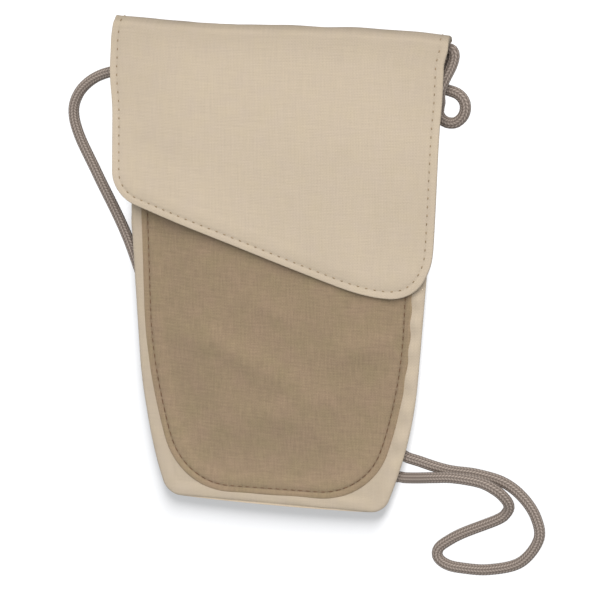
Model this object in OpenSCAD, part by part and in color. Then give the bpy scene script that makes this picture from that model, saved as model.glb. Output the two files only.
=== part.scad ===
// Neck pouch wallet: a soft envelope pouch lying on its back, with a patch pocket on the front,
// a slanted flap that folds over the top and a braided cord that goes round the neck.
// +X is the right of the front, +Y is towards the fold of the flap, +Z is out of the front.
// The origin is on the table under the middle of the pouch.

/* [Pouch] */
// Height from the bottom seam to the outside of the fold
pouch_height = 202; // [192:1:212]
// Half of the body's width at mid-height
body_half = 63.7; // [61:0.1:66]
// How much the half-width shrinks for each millimetre downwards
body_taper = 0.062; // [0.05:0.002:0.07]
// How fast the lower sides curve inwards
body_curve = 0.0026; // [0.002:0.0001:0.003]
// Radius of the two bottom corners
body_corner = 5.4; // [5:0.2:7]
// How much higher the bottom corners sit than the middle of the bottom edge
bottom_bow = 0.8; // [0:0.1:2]
// How much the bottom edge climbs for each millimetre to the right
bottom_tilt = 0.018; // [0:0.002:0.03]
// Height of the mouth edge of the front panel
mouth_y = 70; // [66:1:72]

/* [Depth] */
// Height of the seam margin above the table
margin_rise = 5.6; // [5.6:0.1:7]
// Width of the margin that stays clear of the table
margin_width = 12; // [10:1:14]
// Width over which the back panel comes down to the table
slope_width = 20; // [16:1:22]
// Height inside the front pocket
pocket_depth = 4.5; // [4.3:0.1:6]

/* [Cloth] */
// Thickness of the outer cloth
cloth = 0.7; // [0.5:0.1:0.8]
// Thickness of the body lining
lining = 0.3; // [0.2:0.1:0.4]
// Thickness of the flap's lining
flap_backing = 0.5; // [0.4:0.1:0.6]

/* [Front pocket] */
// Half of the pocket's width at mid-height
pocket_half = 58.5; // [56:0.1:59]
// Radius of the pocket's bottom corners
pocket_corner = 30.6; // [29:0.1:32]
// Height of the pocket's mouth
pocket_mouth_y = 48; // [44:1:52]
// How much the pocket's bottom climbs for each millimetre to the right
pocket_tilt = 0.035; // [0:0.005:0.04]

/* [Flap] */
// Half of the flap's width at the fold
flap_half = 70; // [69:0.1:71]
// Outside radius of the fold
fold_radius = 3.6; // [3.4:0.1:4]
// Height where the left edge turns into its corner
flap_left_y = 37.6; // [36:0.2:39]
// Slope of the lower edge in degrees
flap_slope = 17.2; // [16:0.2:18.4]
// Radius of the lower left corner
flap_corner_left = 14.4; // [12:0.2:16]
// Radius of the lower right corner
flap_corner_right = 17.4; // [16:0.2:19]

/* [Hook and loop] */
// Width of the loop patch
patch_w = 46; // [40:1:48]
// Height of the loop patch
patch_h = 20; // [16:1:22]
// Thickness of each patch
patch_t = 0.7; // [0.6:0.1:0.8]

/* [Neck cord] */
// Diameter of the cord
cord_d = 4.6; // [4.2:0.1:4.6]
// Height of the middle of the cord's sewn ends
tab_y = 78; // [77:1:79]

/* [Stitching] */
// Distance from one stitch to the next
stitch_pitch = 3.3; // [3:0.1:4]
// Length of a stitch
stitch_length = 2.2; // [1.8:0.1:2.6]
// Width of the thread
thread = 0.6; // [0.4:0.1:0.8]
// Distance of a stitch row from the edge it follows
stitch_inset = 3.2; // [2.4:0.1:3.4]

/* [Hidden] */

// Colours of the cloths, threads and cord
beige = [0.80, 0.73, 0.64];
khaki = [0.60, 0.52, 0.42];
lining_grey = [0.66, 0.60, 0.53];
tan_thread = [0.62, 0.53, 0.41];
brown_thread = [0.36, 0.29, 0.22];
patch_beige = [0.72, 0.65, 0.56];
cord_brown = [0.50, 0.45, 0.40];

// Levels of the layers, from the table upwards
bottom_y = -pouch_height / 2;
fold_y = pouch_height / 2 - fold_radius;
fold_z = margin_rise + fold_radius;
front_z = margin_rise + cloth;
pocket_z = front_z + cloth;
pocket_top = pocket_z + pocket_depth + cloth;
hook_gap = 0.3;
flap_z = pocket_top + 2 * patch_t + hook_gap;
flap_t = cloth + flap_backing;
flap_end_gap = 0.3;
flap_end_y = fold_y - flap_end_gap;
flap_end_z = fold_z + fold_radius - flap_t;

// A soft step from 0 to 1
function soft(t) = let (c = max(0, min(1, t))) c * c * (3 - 2 * c);
function mix(a, b, t) = a + (b - a) * t;

// Outline of the body: straight sides above, drawn in below, round corners at the bottom
straight_y = 15;
drawn_in_y = -40;
function body_side(y) =
    body_half + body_taper * min(y, straight_y) - body_curve * pow(max(0, drawn_in_y - y), 2);
function corner_cut(up) =
    up >= body_corner ? 0 : body_corner - sqrt(pow(body_corner, 2) - pow(body_corner - up, 2));
function body_width(y) = body_side(y) - corner_cut(y - bottom_y);
bow_reach = 50;
bow_fade = 40;
function bowed(x, y) =
    y + (bottom_bow * pow(x / bow_reach, 2) + bottom_tilt * x) * (1 - soft((y - bottom_y) / bow_fade));

// Height of the back panel: flat on the table in the middle, raised along the seams and the top
top_margin = 6;
top_slope = 14;
function back_height(x, y) =
    let (side = soft((body_side(y) - abs(x) - margin_width) / slope_width))
    let (bottom = soft((y - bottom_y - margin_width) / slope_width))
    let (top = soft((fold_y - y - top_margin) / top_slope))
    margin_rise * (1 - side * bottom * top);

side_insets = [0, 6, 12, 16, 20, 24, 28, 32];
side_reach = margin_width + slope_width;
bottom_rows = [0, 0.7, 2.5, 5.4, 12, 16, 20, 24, 28, 32];
top_rows = [20, 16.5, 13, 9.5, 6, 0];
middle_rows = 6;
middle_shares = [-0.5, 0, 0.5];
function body_rows(top_y) = concat(
    [for (up = bottom_rows) bottom_y + up],
    [for (i = [1 : middle_rows])
        mix(bottom_y + side_reach, fold_y - top_rows[0], i / (middle_rows + 1))],
    [for (down = top_rows) if (fold_y - down <= top_y) fold_y - down]);
function body_columns(y) =
    let (w = body_width(y))
    concat([for (inset = side_insets) inset - w],
        [for (share = middle_shares) share * (w - side_reach)],
        [for (i = [len(side_insets) - 1 : -1 : 0]) w - side_insets[i]]);

// A sheet of cloth between two grids of points, with the rows running up and the columns to the right
module sheet(lower, upper) {
    columns = len(lower[0]);
    rows = len(lower);
    half = rows * columns;
    points = concat([for (row = lower) each row], [for (row = upper) each row]);
    rim = concat(
        [for (c = [0 : columns - 2]) c],
        [for (r = [0 : rows - 2]) r * columns + columns - 1],
        [for (c = [columns - 1 : -1 : 1]) (rows - 1) * columns + c],
        [for (r = [rows - 1 : -1 : 1]) r * columns]);
    underside = [for (r = [0 : rows - 2], c = [0 : columns - 2])
        let (a = r * columns + c)
        each [[a, a + 1, a + columns + 1], [a, a + columns + 1, a + columns]]];
    face = [for (t = underside) [t[0] + half, t[2] + half, t[1] + half]];
    edges = [for (i = [0 : len(rim) - 1])
        let (p = rim[i], q = rim[(i + 1) % len(rim)])
        each [[p, p + half, q + half], [p, q + half, q]]];
    polyhedron(points, concat(underside, face, edges));
}

// The back panel's grid, lifted off its own underside
function back_grid(lift) =
    [for (y = body_rows(fold_y))
        [for (x = body_columns(y)) [x, bowed(x, y), back_height(x, y) + lift]]];

// A flat body-shaped outline, drawn in from the seams and ending at a straight top edge
bottom_shares = [-1 : 0.25 : 1];
function body_outline(inset, top_y) =
    let (inner_rows = [for (y = body_rows(top_y)) if (y > bottom_y + inset && y < top_y) y])
    let (rows = concat(inner_rows, [top_y]))
    let (right = [for (y = rows) [body_width(y) - inset, bowed(body_width(y), y)]])
    let (left = [for (y = rows) [inset - body_width(y), bowed(-body_width(y), y)]])
    let (base = bottom_y + inset)
    let (reach = body_width(base) - inset)
    concat([for (share = bottom_shares) [share * reach, bowed(share * reach, base)]], right,
        [for (i = [len(left) - 1 : -1 : 0]) left[i]]);

// Outline and bulge of the front pocket, whose bottom hangs a little aslant
pocket_taper = 0.03;
pocket_curve = 0.0025;
pocket_straight_y = -20;
pocket_arc_y = -74.2;
pocket_flange = 4;
pocket_rise = 20;
function pocket_side(y) =
    pocket_half + pocket_taper * y - pocket_curve * pow(max(0, pocket_straight_y - y), 2);
pocket_lean = atan(pocket_taper + 2 * pocket_curve * (pocket_straight_y - pocket_arc_y));
arc_x = pocket_side(pocket_arc_y) - pocket_corner * cos(pocket_lean);
arc_y = pocket_arc_y + pocket_corner * sin(pocket_lean);
pocket_bottom = arc_y - pocket_corner;
pocket_drop = 0.6;
tilt_fade = 40;
function tilted(x, y) =
    y + (pocket_tilt * x - pocket_drop) * (1 - soft((y - pocket_bottom) / tilt_fade));
function pocket_width(y) =
    y < pocket_arc_y ? arc_x + sqrt(max(0, pow(pocket_corner, 2) - pow(arc_y - y, 2))) : pocket_side(y);
function pocket_inset(x, y) =
    y > pocket_arc_y ? pocket_side(y) - abs(x)
    : abs(x) < arc_x ? y - pocket_bottom
    : pocket_corner - norm([abs(x) - arc_x, y - arc_y]);
function pocket_height(x, y) =
    pocket_z + pocket_depth * soft((pocket_inset(x, y) - pocket_flange) / pocket_rise);
pocket_turns = [90 : -12 : 30];
pocket_runs = 8;
pocket_rows = concat(
    [for (turn = pocket_turns) arc_y - pocket_corner * sin(turn)],
    [for (i = [0 : pocket_runs]) mix(pocket_arc_y, pocket_mouth_y, i / pocket_runs)]);
pocket_shares = [0, 0.36, 0.5, 0.6, 0.68, 0.76, 0.84, 0.92, 1];
pocket_columns = concat(
    [for (i = [len(pocket_shares) - 1 : -1 : 1]) -pocket_shares[i]], pocket_shares);
function pocket_grid(lift) =
    [for (y = pocket_rows)
        [for (s = pocket_columns)
            let (x = s * pocket_width(y))
            [x, tilted(x, y), pocket_height(x, y) + lift]]];

// Lower edge of the flap: a corner on the left, a slanted run that levels out, a corner on the right
left_arc = [flap_corner_left - flap_half, flap_left_y];
level_start_x = 19.5;
level_end_x = 50.2;
slant = -tan(flap_slope);
slant_start = left_arc - flap_corner_left * [sin(flap_slope), cos(flap_slope)];
levelling = level_end_x - level_start_x;
function level_share(x) = max(0, min(1, (x - level_start_x) / levelling));
function lower_tilt(x) = slant * (1 - pow(level_share(x), 2));
function lower_y(x) =
    slant_start.y
    + slant * (min(x, level_end_x) - slant_start.x - levelling * pow(level_share(x), 3) / 3);
right_arc = [level_end_x, lower_y(level_end_x) + flap_corner_right];
flap_right_x = level_end_x + flap_corner_right;
arc_step = 15;
left_arc_end = 240;
slant_columns = [-59, -50, -38, -26, -14, -2, 10, 20, 26, 32, 38, 44];
function flap_edge(inset) = concat(
    [for (turn = [180 : arc_step : left_arc_end])
        left_arc + (flap_corner_left - inset) * [cos(turn), sin(turn)]],
    [for (x = slant_columns)
        let (tilt = atan(lower_tilt(x)))
        [x, lower_y(x)] + inset * [-sin(tilt), cos(tilt)]],
    [for (turn = [270 : arc_step : 360])
        right_arc + (flap_corner_right - inset) * [cos(turn), sin(turn)]]);

// Underside of the flap: level over the closure, lower along its edges and towards the fold
fold_run_y = 50;
side_droop = 2.8;
side_droop_x = 32;
droop_fade_y = 60;
edge_droop = 0.9;
edge_droop_width = 8;
function flap_height(x, y) =
    let (towards_fold = soft((y - fold_run_y) / (fold_y - fold_run_y)))
    let (level = mix(flap_z, flap_end_z, towards_fold))
    let (side = soft((abs(x) - side_droop_x) / (flap_half - side_droop_x)))
    let (fade = 1 - soft((y - droop_fade_y) / (fold_y - droop_fade_y)))
    level - side_droop * side * fade - edge_droop * (1 - soft((y - lower_y(x)) / edge_droop_width));
flap_rows = [0, 0.05, 0.1, 0.18, 0.3, 0.45, 0.6, 0.75, 0.88, 1];
function spread_x(x) = x < 0 ? x : x * flap_half / flap_right_x;
function flap_grid(lift) =
    [for (t = flap_rows)
        [for (p = flap_edge(0))
            let (x = mix(p.x, spread_x(p.x), t))
            let (y = mix(p.y, flap_end_y, t))
            [x, y, flap_height(x, y) + lift]]];

// Cloth that turns from the back panel over to the flap
function fold_grid(radius) =
    [for (turn = [180 : -arc_step : 0])
        [for (s = [-1, 0, 1])
            [s * flap_half, fold_y + radius * sin(turn), fold_z + radius * cos(turn)]]];

// Points at a regular pitch along a path, each with the direction of the path there
function path_lengths(path, i = 0, sum = 0) =
    i == len(path) ? [] : concat([sum],
        path_lengths(path, i + 1, i + 1 < len(path) ? sum + norm(path[i + 1] - path[i]) : sum));
function along(path, lengths, d, i = 0) =
    i == len(path) - 2 || d <= lengths[i + 1]
    ? let (run = path[i + 1] - path[i])
        [path[i] + run * (d - lengths[i]) / norm(run), atan2(run.y, run.x)]
    : along(path, lengths, d, i + 1);
function stitch_places(path) =
    let (lengths = path_lengths(path))
    let (total = lengths[len(lengths) - 1])
    let (count = floor(total / stitch_pitch))
    [for (i = [0 : count - 1]) along(path, lengths, (i + 0.5) * total / count)];

// A row of stitches standing out of the cloth, at the height that each place gives
thread_bite = 0.3;
thread_proud = 0.25;
module stitch(place, z) {
    translate([place[0].x, place[0].y, z - thread_bite])
        rotate([0, 0, place[1]])
            translate([-stitch_length / 2, -thread / 2, 0])
                cube([stitch_length, thread, thread_bite + thread_proud]);
}

// A rectangle with round corners
patch_corner = 2;
module rounded_plate(w, h, t) {
    linear_extrude(t) {
        square([w - 2 * patch_corner, h], center = true);
        square([w, h - 2 * patch_corner], center = true);
        for (x = [-1, 1], y = [-1, 1])
            translate([x * (w / 2 - patch_corner), y * (h / 2 - patch_corner)])
                circle(patch_corner, $fn = 32);
    }
}
function rectangle_path(w, h) =
    [[-w / 2, -h / 2], [w / 2, -h / 2], [w / 2, h / 2], [-w / 2, h / 2], [-w / 2, -h / 2]];

// Place and size of the closure
closure_y = 30;
hook_shrink = 4;
closure_stitch_inset = 1.5;

// Route of the cord's centre line, from the left sewn end to the right one
lie = cord_d / 2;
tab_clear = 0.3;
tab_z = (margin_rise + tab_clear) / 2;
tab_inner_x = 58;
tab_outer_x = 64.6;
cord_end_x = 60;
cord_route = [
    [-cord_end_x, tab_y, tab_z], [-66, tab_y, tab_z], [-74.6, 77.2, 2.4], [-82.4, 73.8, lie],
    [-88.4, 68, lie], [-91, 60.2, lie], [-88.6, 50, lie], [-80.4, 33.8, lie], [-66, 5.2, lie],
    [-54.5, -30, lie], [-46, -70, lie], [-36, -85.5, lie], [-6, -93, lie], [46, -85.2, lie],
    [56, -84.4, 2.7], [62, -83.4, 4.2], [69, -82, 6.1], [77, -81, 7], [88.2, -81.8, 7.1],
    [94.8, -84.5, 6.9], [98.4, -88, 5.4], [99.8, -91.6, 3.6], [98.6, -95, 2.5], [94.8, -98.4, lie],
    [81, -105.4, lie], [74.2, -109.8, lie], [70.4, -113.4, lie], [70.2, -117.2, lie],
    [73.8, -119.9, lie], [80, -120.8, lie], [92, -120.2, lie], [105, -115.6, lie],
    [112.3, -105, lie], [110.8, -95.6, lie], [105, -87.6, lie], [96.8, -82.2, lie],
    [85.5, -79.9, lie], [73.6, -79.4, lie], [62, -77, lie], [53.6, -74.2, lie], [49.4, -65, lie],
    [51.5, -30, lie], [53.2, 36, lie], [54.2, 68, lie], [54.6, 79, lie], [55.4, 82.8, lie],
    [58.2, 84.9, lie], [62, 85.2, lie], [65.2, 85.9, lie], [67.1, 87.6, lie], [67.9, 89.6, lie],
    [68, 91.3, lie], [68.4, 92.7, 2.5], [69.5, 93.6, 3], [70.9, 93.6, 3.7], [72, 92.7, 4.2],
    [72.4, 91.2, 4.5], [72.2, 89.2, 4.9], [71.6, 87, 5.6], [70.6, 84.6, 6.4], [69.4, 81.8, 7.2],
    [68.2, 78.6, 7.8], [67.6, 75.5, 7.2], [67.2, 72.7, 5], [66.4, 70.2, 3.2], [66.2, 67.7, 2.5],
    [67.6, 65.4, lie], [70.3, 64.2, lie], [73.4, 64.6, lie], [76, 67, lie], [77, 70.2, lie],
    [76.3, 73.4, lie], [74, 75.8, lie], [70.4, 77.1, 2.4], [66, tab_y, tab_z],
    [cord_end_x, tab_y, tab_z]];

// Smooth curve through the route, with extra rings on the long runs
ring_spacing = 7;
most_parts = 3;
function spline(a, b, c, d, t) =
    0.5 * (2 * b + (c - a) * t + (2 * a - 5 * b + 4 * c - d) * t * t
        + (3 * b - a - 3 * c + d) * t * t * t);
function route_point(i) =
    i < 0 ? 2 * cord_route[0] - cord_route[1]
    : i >= len(cord_route) ? 2 * cord_route[len(cord_route) - 1] - cord_route[len(cord_route) - 2]
    : cord_route[i];
function on_run(i, t) =
    spline(route_point(i - 1), route_point(i), route_point(i + 1), route_point(i + 2), t);
cord_line = concat(
    [for (i = [0 : len(cord_route) - 2])
        let (run = norm(route_point(i + 1) - route_point(i)))
        let (parts = min(most_parts, ceil(run / ring_spacing)))
        each [for (k = [0 : parts - 1]) on_run(i, k / parts)]],
    [cord_route[len(cord_route) - 1]]);
cord_sides = 10;
function cord_ring(i) =
    let (last = len(cord_line) - 1)
    let (run = cord_line[min(i + 1, last)] - cord_line[max(i - 1, 0)])
    let (ahead = run / norm(run))
    let (across = cross(ahead, [0, 0, 1]) / norm(cross(ahead, [0, 0, 1])))
    let (up = cross(across, ahead))
    [for (k = [0 : cord_sides - 1])
        let (turn = 360 * (k + 0.5) / cord_sides)
        cord_line[i] + cord_d / 2 * (cos(turn) * across + sin(turn) * up)];
cord_lengths = path_lengths(cord_line);
echo(cord_length = cord_lengths[len(cord_lengths) - 1], cord_rings = len(cord_line));

// Back of the pouch, from the bottom seam to the fold
module back_panel() {
    color(beige) sheet(back_grid(0), back_grid(cloth));
}

// Lining on the inside of the back panel, which leaves rows and columns of its grid bare at the seams
lining_first_row = 6;
lining_top_gap = 1;
lining_side_gap = 4;
module back_lining() {
    inner = function (grid)
        [for (r = [lining_first_row : len(grid) - 1 - lining_top_gap])
            [for (c = [lining_side_gap : len(grid[r]) - 1 - lining_side_gap]) grid[r][c]]];
    color(lining_grey) sheet(inner(back_grid(cloth)), inner(back_grid(cloth + lining)));
}

// Front of the main compartment, which ends at the mouth
module front_panel() {
    color(beige) translate([0, 0, front_z]) linear_extrude(cloth) polygon(body_outline(0, mouth_y));
}

// Lining on the inside of the front panel
front_lining_inset = 28;
module front_lining() {
    color(lining_grey) translate([0, 0, front_z - lining])
        linear_extrude(lining) polygon(body_outline(front_lining_inset, mouth_y - hem_depth));
}

// Row of stitches along the hem of the mouth
hem_depth = 6;
module mouth_stitching() {
    reach = body_side(mouth_y) - margin_width;
    hem_y = mouth_y - hem_depth;
    color(tan_thread) for (place = stitch_places([[-reach, hem_y], [reach, hem_y]]))
        stitch(place, pocket_z);
}

// Patch pocket on the front, raised in the middle and open at its top edge
module front_pocket() {
    color(khaki) sheet(pocket_grid(0), pocket_grid(cloth));
}

// Row of stitches that holds the pocket down along its sides and bottom
pocket_stitch_inset = 3;
pocket_stitch_turns = [90 : -10 : 10];
pocket_stitch_rows = [pocket_arc_y + 6 : 12 : pocket_mouth_y - 4];
module pocket_stitching() {
    right = concat(
        [for (turn = pocket_stitch_turns)
            [arc_x, arc_y] + (pocket_corner - pocket_stitch_inset) * [cos(turn), -sin(turn)]],
        [for (y = pocket_stitch_rows) [pocket_side(y) - pocket_stitch_inset, y]]);
    level = concat([for (i = [len(right) - 1 : -1 : 0]) [-right[i].x, right[i].y]], right);
    path = [for (p = level) [p.x, tilted(p.x, p.y)]];
    color(brown_thread) for (place = stitch_places(path)) stitch(place, pocket_z + cloth);
}

// Row of stitches along the hem of the pocket's mouth
module pocket_hem_stitching() {
    reach = pocket_half - pocket_flange - pocket_rise;
    hem_y = pocket_mouth_y - hem_depth;
    color(brown_thread) for (place = stitch_places([[-reach, hem_y], [reach, hem_y]]))
        stitch(place, pocket_top);
}

// Soft half of the closure, on the pocket
module loop_patch() {
    color(patch_beige) translate([0, closure_y, pocket_top]) rounded_plate(patch_w, patch_h, patch_t);
}

// Stitches round the loop patch
module loop_stitching() {
    inset = 2 * closure_stitch_inset;
    color(tan_thread) translate([0, closure_y, 0])
        for (place = stitch_places(rectangle_path(patch_w - inset, patch_h - inset)))
            stitch(place, pocket_top + patch_t - thread_proud);
}

// Fold at the top, where the cloth of the back turns into the flap
module flap_fold() {
    color(beige) sheet(fold_grid(fold_radius), fold_grid(fold_radius - flap_t));
}

// Outer cloth of the flap
module flap_outer() {
    color(beige) sheet(flap_grid(flap_backing), flap_grid(flap_t));
}

// Backing cloth of the flap
module flap_lining() {
    color(lining_grey) sheet(flap_grid(0), flap_grid(flap_backing));
}

// Row of stitches round the free edges of the flap
stitch_top_y = 92;
module flap_stitching() {
    edge = flap_edge(stitch_inset);
    reach = flap_half - stitch_inset;
    path = concat([[-reach, stitch_top_y]], edge, [[reach, stitch_top_y]]);
    color(tan_thread) for (place = stitch_places(path))
        stitch(place, flap_height(place[0].x, place[0].y) + flap_t);
}

// Hooked half of the closure, under the flap
module hook_patch() {
    color(patch_beige) translate([0, closure_y, flap_z - patch_t])
        rounded_plate(patch_w - hook_shrink, patch_h - hook_shrink, patch_t);
}

// Stitches round the hook patch, sunk level with its face
module hook_stitching() {
    inset = 2 * closure_stitch_inset;
    path = rectangle_path(patch_w - hook_shrink - inset, patch_h - hook_shrink - inset);
    color(tan_thread) translate([0, closure_y, 0])
        for (place = stitch_places(path)) stitch(place, flap_z - patch_t + thread_bite);
}

// Folded tab on the back margin, round one sewn end of the cord
tab_height = 7;
module cord_tab(side) {
    color(beige) difference() {
        translate([side > 0 ? tab_inner_x : -tab_outer_x, tab_y - tab_height / 2, tab_clear])
            cube([tab_outer_x - tab_inner_x, tab_height, margin_rise - tab_clear]);
        translate([side * cord_end_x, tab_y, tab_z])
            rotate([0, side * 90, 0]) cylinder(h = tab_outer_x, d = cord_d, $fn = 48);
    }
}
module cord_tab_left() { cord_tab(-1); }
module cord_tab_right() { cord_tab(1); }

// Bars of dense stitches that close the tabs on both sides of the cord's ends
bar_offset = 2.85;
bar_length = 5;
bar_height = margin_rise / 2 - thread_proud;
module tab_stitching() {
    bar_x = (tab_inner_x + tab_outer_x) / 2;
    color(tan_thread) for (side = [-1, 1], across = [-1, 1])
        translate([side * bar_x, tab_y + across * bar_offset, margin_rise / 4])
            cube([bar_length, thread, bar_height], center = true);
}

// Neck cord, lying on the table and tucked under the edges of the pouch
module neck_cord() {
    rings = len(cord_line);
    points = [for (i = [0 : rings - 1]) each cord_ring(i)];
    first = [for (k = [1 : cord_sides - 2]) [0, k, k + 1]];
    last = [for (k = [1 : cord_sides - 2]) (rings - 1) * cord_sides * [1, 1, 1] + [0, k + 1, k]];
    wall = [for (i = [0 : rings - 2], k = [0 : cord_sides - 1])
        let (a = i * cord_sides + k, b = i * cord_sides + (k + 1) % cord_sides)
        each [[a, a + cord_sides, b + cord_sides], [a, b + cord_sides, b]]];
    color(cord_brown) polyhedron(points, concat(first, wall, last));
}

back_panel();
back_lining();
front_panel();
front_lining();
mouth_stitching();
front_pocket();
pocket_stitching();
pocket_hem_stitching();
loop_patch();
loop_stitching();
flap_fold();
flap_outer();
flap_lining();
flap_stitching();
hook_patch();
hook_stitching();
cord_tab_left();
cord_tab_right();
tab_stitching();
neck_cord();
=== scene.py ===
"""Neck pouch wallet: its cloths, stitches, closure and braided cord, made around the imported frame."""

import math

import bpy
import numpy as np
from mathutils import Matrix, Vector


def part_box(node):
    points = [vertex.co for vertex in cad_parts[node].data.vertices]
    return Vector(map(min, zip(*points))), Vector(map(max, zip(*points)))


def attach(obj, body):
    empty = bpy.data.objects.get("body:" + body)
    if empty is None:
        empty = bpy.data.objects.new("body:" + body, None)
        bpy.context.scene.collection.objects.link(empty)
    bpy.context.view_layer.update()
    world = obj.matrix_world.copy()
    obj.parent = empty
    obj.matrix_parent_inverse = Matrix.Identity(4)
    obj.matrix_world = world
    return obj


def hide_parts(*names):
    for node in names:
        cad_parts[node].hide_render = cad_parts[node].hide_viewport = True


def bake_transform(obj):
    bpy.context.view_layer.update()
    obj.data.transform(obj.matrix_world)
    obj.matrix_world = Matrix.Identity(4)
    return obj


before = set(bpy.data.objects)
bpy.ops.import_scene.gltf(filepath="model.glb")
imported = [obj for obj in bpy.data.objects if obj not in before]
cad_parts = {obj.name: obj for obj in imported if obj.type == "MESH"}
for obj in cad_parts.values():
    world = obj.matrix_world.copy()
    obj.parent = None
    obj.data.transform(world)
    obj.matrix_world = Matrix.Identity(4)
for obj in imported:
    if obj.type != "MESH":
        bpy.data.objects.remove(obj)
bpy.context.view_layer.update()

# Lengths are in millimetres, and become metres when a mesh is made
MM = 0.001


def box_mm(node):
    """Lowest and highest corner of a node, in millimetres."""
    low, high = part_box(node)
    return np.array(low) / MM, np.array(high) / MM


# Places and levels that the frame gives
_, back_high = box_mm("back_panel")
front_low, front_high = box_mm("front_panel")
pocket_low, pocket_high = box_mm("front_pocket")
fold_low, fold_high = box_mm("flap_fold")
loop_low, loop_high = box_mm("loop_patch")
hook_low, hook_high = box_mm("hook_patch")
tab_low, tab_high = box_mm("cord_tab_right")
CLOTH = front_high[2] - front_low[2]
BOTTOM_Y = -fold_high[1]
FOLD_Y = back_high[1]
MOUTH_Y = front_high[1]
MARGIN_RISE = fold_low[2]
FOLD_RADIUS = (fold_high[2] - fold_low[2]) / 2
FOLD_Z = MARGIN_RISE + FOLD_RADIUS
FRONT_Z = front_low[2]
POCKET_Z = pocket_low[2]
POCKET_MOUTH_Y = pocket_high[1]
FLAP_HALF = fold_high[0]
FLAP_Z = hook_high[2]
CLOSURE_Y = (loop_low[1] + loop_high[1]) / 2

# Shape of the body, as in the part's source
BODY_HALF = 63.7
BODY_TAPER = 0.062
BODY_CURVE = 0.0026
BODY_STRAIGHT_Y = 15
BODY_DRAWN_IN_Y = -40
BODY_CORNER = 5.4
BOTTOM_BOW = 0.8
BOTTOM_TILT = 0.018
BOW_REACH = 50
BOW_FADE = 40
LEFT_DRAW = 0.95
MARGIN_WIDTH = 12
SLOPE_WIDTH = 20
TOP_MARGIN = 6
TOP_SLOPE = 14
LINING = 0.3
HEM_DEPTH = 6
BACK_LINING_INSET = 20
FRONT_LINING_INSET = 28

# Shape of the front pocket
POCKET_HALF = 58.5
POCKET_TAPER = 0.03
POCKET_CURVE = 0.0025
POCKET_STRAIGHT_Y = -20
POCKET_ARC_Y = -74.2
POCKET_CORNER = 30.6
POCKET_DEPTH = 4.5
POCKET_FLANGE = 4
POCKET_RISE = 20
POCKET_SWELL = 27
BOTTOM_SWELL = 36
POCKET_STITCH_INSET = 3
POCKET_TILT = 0.035
POCKET_DROP = 0.6
TILT_FADE = 40

# Shape of the flap
FLAP_BACKING = 0.5
FLAP_T = CLOTH + FLAP_BACKING
FLAP_LEFT_Y = 37.6
FLAP_SLOPE = math.radians(17.2)
FLAP_CORNER_LEFT = 14.4
FLAP_CORNER_RIGHT = 17.4
FLAP_END_Y = FOLD_Y - 0.3
LEVEL_START_X = 19.5
LEVEL_END_X = 50.2
FOLD_RUN_Y = 50
SIDE_DROOP = 2.8
SIDE_DROOP_X = 32
DROOP_FADE_Y = 60
EDGE_DROOP = 0.3
EDGE_DROOP_WIDTH = 8
EDGE_LIFT = 1.8
EDGE_SETTLE = 0.7
CORNER_SETTLE = 2.3
LIFT_LEAN = (0.32, 0.24)
FLAP_STITCH_INSET = 3.2
FLAP_STITCH_TOP = 96.5
LEFT_BULGE = 1
LEFT_TUCK = 1.7
RIGHT_SWELL = 0.45
RIGHT_FLARE = 1.5
CORNER_DRAW = 0.8

# Stitches
STITCH_PITCH = 3.3
FLAP_STITCH_PITCH = 3.5
THREAD = 0.45

# Neck cord: the route of its centre line, from the left sewn end to the right one
CORD_D = 4.6
LIE = CORD_D / 2
TAB_Y = (tab_low[1] + tab_high[1]) / 2
TAB_Z = (tab_low[2] + tab_high[2]) / 2
CORD_ROUTE = np.array([
    (-60, TAB_Y, TAB_Z), (-66, TAB_Y, TAB_Z), (-74.6, 77.2, 2.4), (-82.4, 73.8, LIE),
    (-88.4, 68, LIE), (-91, 60.2, LIE), (-88.6, 50, LIE), (-80.4, 33.8, LIE), (-66, 5.2, LIE),
    (-54.5, -30, LIE), (-46, -70, LIE), (-36, -85.5, LIE), (-6, -93, LIE), (46, -85.2, LIE),
    (56, -84.4, 2.7), (62, -83.4, 4.2), (69, -82, 6.1), (77, -81, 7), (88.2, -81.8, 7.1),
    (94.8, -84.5, 6.9), (98.4, -88, 5.4), (99.8, -91.6, 3.6), (98.6, -95, 2.5), (94.8, -98.4, LIE),
    (81, -105.4, LIE), (74.2, -109.8, LIE), (70.4, -113.4, LIE), (70.2, -117.2, LIE),
    (73.8, -119.9, LIE), (80, -120.8, LIE), (92, -120.2, LIE), (105, -115.6, LIE),
    (112.3, -105, LIE), (110.8, -95.6, LIE), (105, -87.6, LIE), (96.8, -82.2, LIE),
    (85.5, -79.9, LIE), (73.6, -79.4, LIE), (62, -77, LIE), (53.6, -74.2, LIE), (49.4, -65, LIE),
    (51.5, -30, LIE), (53.2, 36, LIE), (54.2, 68, LIE), (54.6, 79, LIE), (55.4, 82.8, LIE),
    (58.2, 84.9, LIE), (62, 85.2, LIE), (65.2, 85.9, LIE), (67.1, 87.6, LIE), (67.9, 89.6, LIE),
    (68, 91.3, LIE), (68.4, 92.7, 2.5), (69.5, 93.6, 3), (70.9, 93.6, 3.7), (72, 92.7, 4.2),
    (72.4, 91.2, 4.5), (72.2, 89.2, 4.9), (71.6, 87, 5.6), (70.6, 84.6, 6.4), (69.4, 81.8, 7.2),
    (68.2, 78.6, 7.8), (67.6, 75.5, 7.2), (67.2, 72.7, 5), (66.4, 70.2, 3.2), (66.2, 67.7, 2.5),
    (67.6, 65.4, LIE), (70.3, 64.2, LIE), (73.4, 64.6, LIE), (76, 67, LIE), (77, 70.2, LIE),
    (76.3, 73.4, LIE), (74, 75.8, LIE), (70.4, 77.1, 2.4), (66, TAB_Y, TAB_Z),
    (60, TAB_Y, TAB_Z)])

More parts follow.
